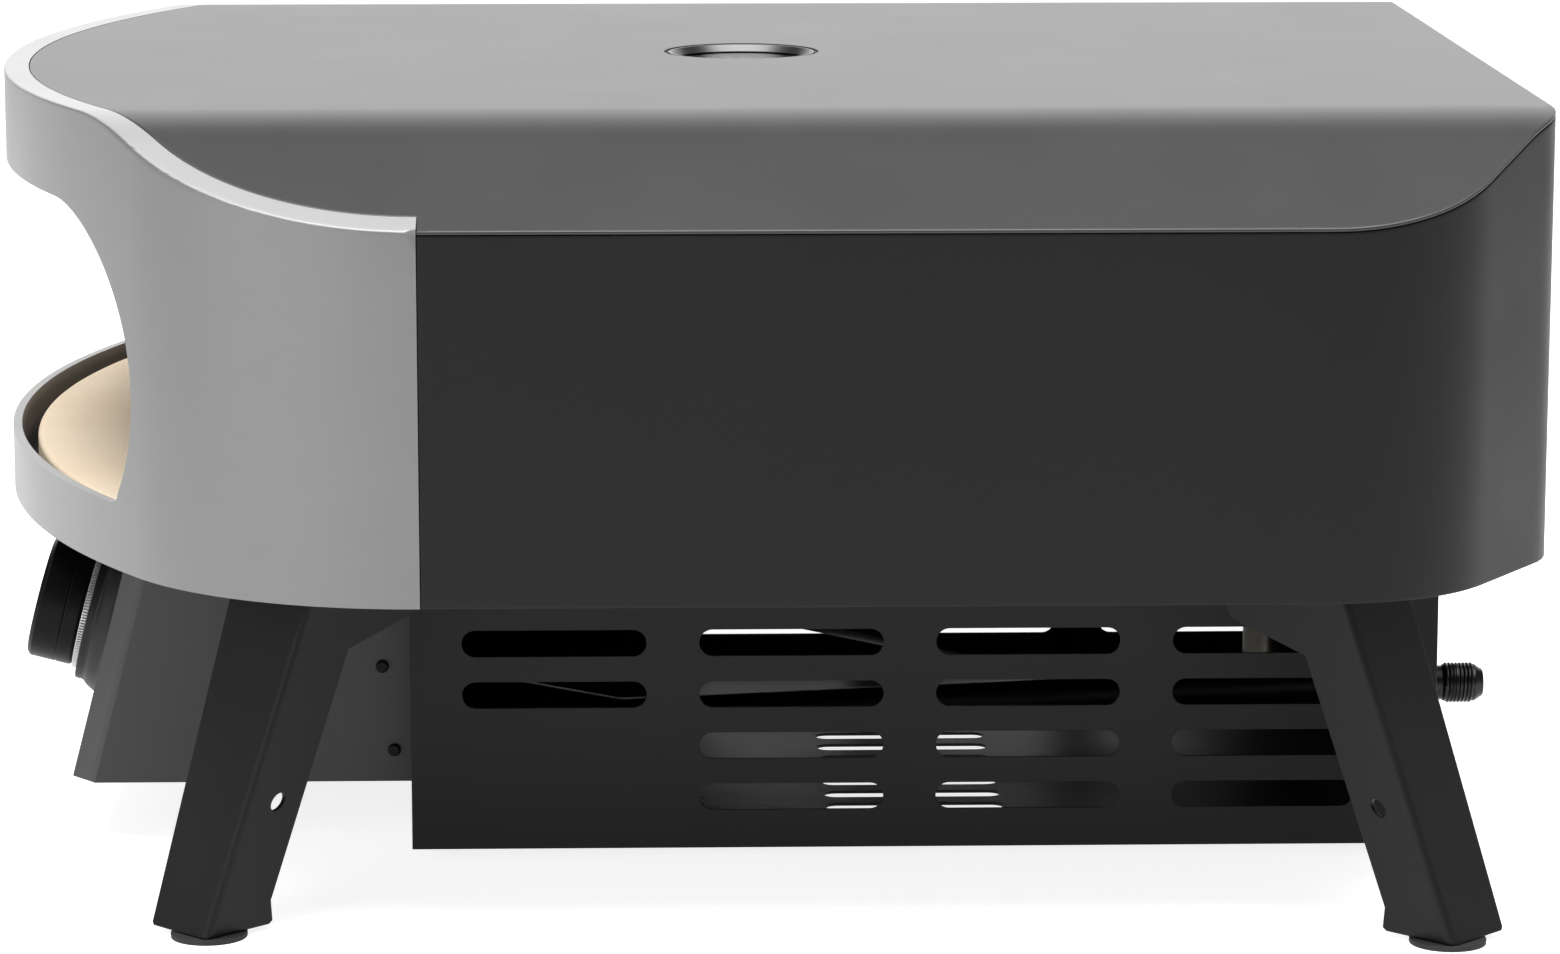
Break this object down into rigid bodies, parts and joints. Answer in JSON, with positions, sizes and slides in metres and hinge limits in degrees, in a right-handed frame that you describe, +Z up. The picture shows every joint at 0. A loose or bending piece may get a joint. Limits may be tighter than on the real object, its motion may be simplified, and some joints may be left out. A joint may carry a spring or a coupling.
{
  "type": "table-top pizza oven",
  "caption": "Low gas-fired table-top pizza oven: curved metal front with a wide mouth, stone floor, slotted base, tilted control box with knob, splayed sheet legs.",
  "frame": {"origin": "floor level, under the middle of the body's footprint", "axes": "+Z up, the mouth faces -Y, +X to the right of someone who faces the mouth"},
  "size_m": [0.6, 0.5814, 0.2916],
  "materials": {
    "roof_paint": "satin dark grey powder coat",
    "black_paint": "satin black powder coat",
    "silver_paint": "satin silver grey powder coat",
    "liner_steel": "mill-finished stainless sheet",
    "stone": "matte cordierite",
    "blanket": "matte ceramic fibre",
    "galvanised": "zinc coated sheet",
    "black_plastic": "fine matte black",
    "bright_metal": "bright plated",
    "dark_steel": "blackened, turned",
    "brass": "machined",
    "rubber": "matte",
    "dial_white": "matte off-white",
    "pointer_red": "matte red",
    "glass": "clear flat glass",
    "ceramic": "glazed"
  },
  "bodies": {
    "oven": {"base_floor": "black_paint", "base_front": "black_paint", "base_rear": "black_paint", "base_side_left": "black_paint", "base_side_right": "black_paint", "body_pan": "black_paint", "burner_cap_left": "liner_steel", "burner_cap_right": "liner_steel", "burner_guard": "liner_steel", "burner_riser": "liner_steel", "burner_saddle_left": "galvanised", "burner_saddle_rear_left": "galvanised", "burner_saddle_rear_right": "galvanised", "burner_saddle_right": "galvanised", "burner_tube": "liner_steel", "chamber_ceiling": "liner_steel", "chamber_wall": "liner_steel", "control_floor": "black_paint", "control_screw_lower_left": "black_plastic", "control_screw_lower_right": "black_plastic", "control_screw_upper_left": "black_plastic", "control_screw_upper_right": "black_plastic", "control_shell": "black_paint", "feed_pipe": "brass", "foot_front_left": "rubber", "foot_front_right": "rubber", "foot_rear_left": "rubber", "foot_rear_right": "rubber", "front_band": "silver_paint", "gas_inlet": "dark_steel", "gas_valve": "brass", "igniter_electrode": "ceramic", "inlet_nut": "dark_steel", "jet_holder": "brass", "knob_bezel": "black_plastic", "leg_front_left": "black_paint", "leg_front_right": "black_paint", "leg_rear_left": "black_paint", "leg_rear_right": "black_paint", "mouth_shield": "liner_steel", "pizza_stone": "stone", "probe_nut": "brass", "roof_blanket": "blanket", "roof_cover": "roof_paint", "side_wrap": "black_paint", "stone_rail_left": "galvanised", "stone_rail_right": "galvanised", "supply_pipe": "black_plastic", "thermometer_case": "black_plastic", "thermometer_dial": "dial_white", "thermometer_glass": "glass", "thermometer_probe": "bright_metal", "thermometer_ring": "bright_metal", "valve_plate": "galvanised"},
    "press": {"stem_collar": "galvanised"},
    "knob": {"knob": "black_plastic", "knob_ring": "bright_metal", "valve_stem": "brass"},
    "pointer": {"thermometer_pointer": "pointer_red"}
  },
  "joints": [
    {"name": "knob_press", "type": "slide", "parent": "oven", "child": "press", "axis": [0, 0.9673, -0.2538], "range_m": [0, 0.003], "stiffness_N_per_m": 2500},
    {"name": "knob_turn", "type": "hinge", "parent": "press", "child": "knob", "pos_m": [0, -0.2504, 0.0626], "axis": [0, -0.9673, 0.2538], "range_deg": [0, 180]},
    {"name": "pointer_turn", "type": "hinge", "parent": "oven", "child": "pointer", "pos_m": [0, 0, 0.2846], "axis": [0, 0, 1], "range_deg": [-270, 0]}
  ]
}
